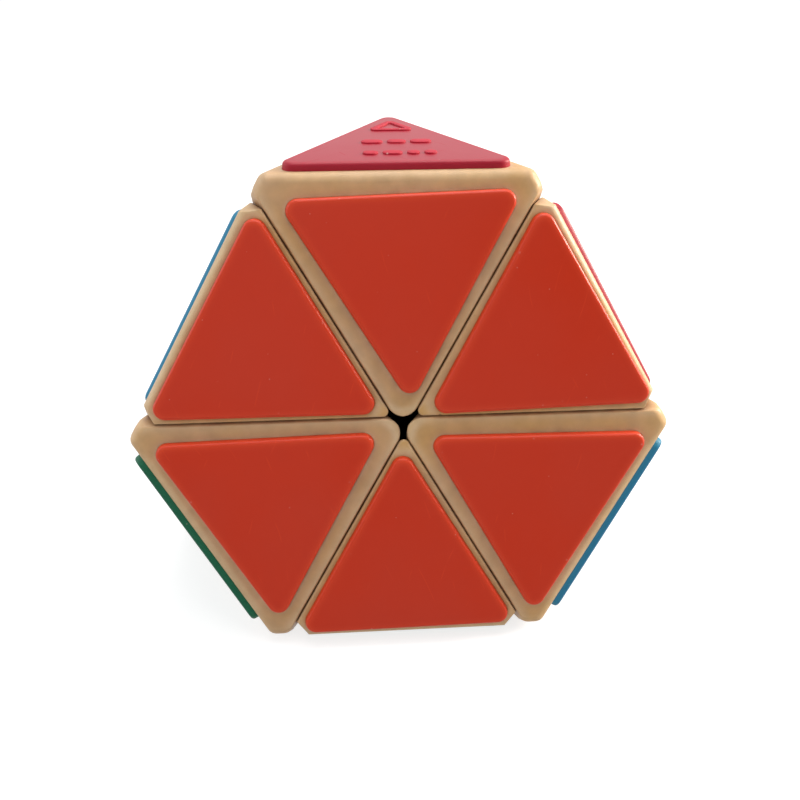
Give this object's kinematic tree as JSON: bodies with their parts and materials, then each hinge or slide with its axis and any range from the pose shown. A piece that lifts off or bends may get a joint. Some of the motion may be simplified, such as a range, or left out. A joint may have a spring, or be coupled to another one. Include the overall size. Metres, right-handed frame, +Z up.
{
  "type": "truncated tetrahedron twisty puzzle",
  "caption": "Corner-turning truncated tetrahedron puzzle: cream shells with raised coloured triangular tiles, turning on sprung screws round a central core.",
  "frame": {"origin": "centre of the core, where the four turning axes meet", "axes": "+Z up through the top corner with the red cap, -Y towards the front face, +X to the right; the puzzle stands on its bottom face"},
  "size_m": [0.0654, 0.066, 0.0554],
  "materials": {
    "cream_plastic": "aged moulded plastic, yellowed at the corners, soft sheen",
    "orange_tile": "moulded plastic tile, semi-gloss, lightly scratched",
    "red_tile": "moulded plastic tile, semi-gloss, dusty",
    "green_tile": "moulded plastic tile, semi-gloss",
    "blue_tile": "moulded plastic tile, semi-gloss",
    "black_plastic": "moulded nylon-like plastic, matt",
    "steel": "zinc plated"
  },
  "bodies": {
    "core": {"core": "black_plastic", "screw_top": "steel", "spring_top": "steel", "screw_back": "steel", "spring_back": "steel", "screw_left": "steel", "spring_left": "steel", "screw_right": "steel", "spring_right": "steel"},
    "top": {"corner_shell_top": "cream_plastic", "corner_base_top": "black_plastic", "tile_top_front": "orange_tile", "tile_top_leftside": "blue_tile", "tile_top_rightside": "red_tile", "tile_top_cap": "red_tile"},
    "back": {"corner_shell_back": "cream_plastic", "corner_base_back": "black_plastic", "tile_back_leftside": "blue_tile", "tile_back_rightside": "red_tile", "tile_back_bottom": "green_tile", "tile_back_cap": "orange_tile"},
    "left": {"corner_shell_left": "cream_plastic", "corner_base_left": "black_plastic", "tile_left_front": "orange_tile", "tile_left_leftside": "blue_tile", "tile_left_bottom": "green_tile", "tile_left_cap": "green_tile"},
    "right": {"corner_shell_right": "cream_plastic", "corner_base_right": "black_plastic", "tile_right_front": "orange_tile", "tile_right_rightside": "red_tile", "tile_right_bottom": "green_tile", "tile_right_cap": "blue_tile"},
    "top_back": {"edge_shell_top_back": "cream_plastic", "edge_foot_top_back": "black_plastic", "tile_top_back_leftside": "blue_tile", "tile_top_back_rightside": "red_tile"},
    "top_left": {"edge_shell_top_left": "cream_plastic", "edge_foot_top_left": "black_plastic", "tile_top_left_front": "orange_tile", "tile_top_left_leftside": "blue_tile"},
    "top_right": {"edge_shell_top_right": "cream_plastic", "edge_foot_top_right": "black_plastic", "tile_top_right_front": "orange_tile", "tile_top_right_rightside": "red_tile"},
    "back_left": {"edge_shell_back_left": "cream_plastic", "edge_foot_back_left": "black_plastic", "tile_back_left_leftside": "blue_tile", "tile_back_left_bottom": "green_tile"},
    "back_right": {"edge_shell_back_right": "cream_plastic", "edge_foot_back_right": "black_plastic", "tile_back_right_rightside": "red_tile", "tile_back_right_bottom": "green_tile"},
    "left_right": {"edge_shell_left_right": "cream_plastic", "edge_foot_left_right": "black_plastic", "tile_left_right_front": "orange_tile", "tile_left_right_bottom": "green_tile"}
  },
  "joints": [
    {"name": "top_turn", "type": "hinge", "parent": "core", "child": "top", "pos_m": [0, 0, 0], "axis": [0, 0, 1], "range_deg": [-240, 120]},
    {"name": "back_turn", "type": "hinge", "parent": "core", "child": "back", "pos_m": [0, 0, 0], "axis": [0, 0.9428, -0.3333], "range_deg": [-240, 120]},
    {"name": "left_turn", "type": "hinge", "parent": "core", "child": "left", "pos_m": [0, 0, 0], "axis": [-0.8165, -0.4714, -0.3333], "range_deg": [-240, 120]},
    {"name": "right_turn", "type": "hinge", "parent": "core", "child": "right", "pos_m": [0, 0, 0], "axis": [0.8165, -0.4714, -0.3333], "range_deg": [-240, 120]},
    {"name": "top_back_with_back", "type": "hinge", "parent": "top", "child": "top_back", "pos_m": [0, 0, 0], "axis": [0, 0.9428, -0.3333], "range_deg": [-240, 120]},
    {"name": "top_left_with_left", "type": "hinge", "parent": "top", "child": "top_left", "pos_m": [0, 0, 0], "axis": [-0.8165, -0.4714, -0.3333], "range_deg": [-240, 120]},
    {"name": "top_right_with_right", "type": "hinge", "parent": "top", "child": "top_right", "pos_m": [0, 0, 0], "axis": [0.8165, -0.4714, -0.3333], "range_deg": [-240, 120]},
    {"name": "back_left_with_left", "type": "hinge", "parent": "back", "child": "back_left", "pos_m": [0, 0, 0], "axis": [-0.8165, -0.4714, -0.3333], "range_deg": [-240, 120]},
    {"name": "back_right_with_back", "type": "hinge", "parent": "right", "child": "back_right", "pos_m": [0, 0, 0], "axis": [0, 0.9428, -0.3333], "range_deg": [-240, 120]},
    {"name": "left_right_with_right", "type": "hinge", "parent": "left", "child": "left_right", "pos_m": [0, 0, 0], "axis": [0.8165, -0.4714, -0.3333], "range_deg": [-240, 120]}
  ],
  "couplings": [
    {"joint": "top_back_with_back", "follows": "back_turn", "ratio": 1},
    {"joint": "top_left_with_left", "follows": "left_turn", "ratio": 1},
    {"joint": "top_right_with_right", "follows": "right_turn", "ratio": 1},
    {"joint": "back_left_with_left", "follows": "left_turn", "ratio": 1},
    {"joint": "back_right_with_back", "follows": "back_turn", "ratio": 1},
    {"joint": "left_right_with_right", "follows": "right_turn", "ratio": 1}
  ]
}
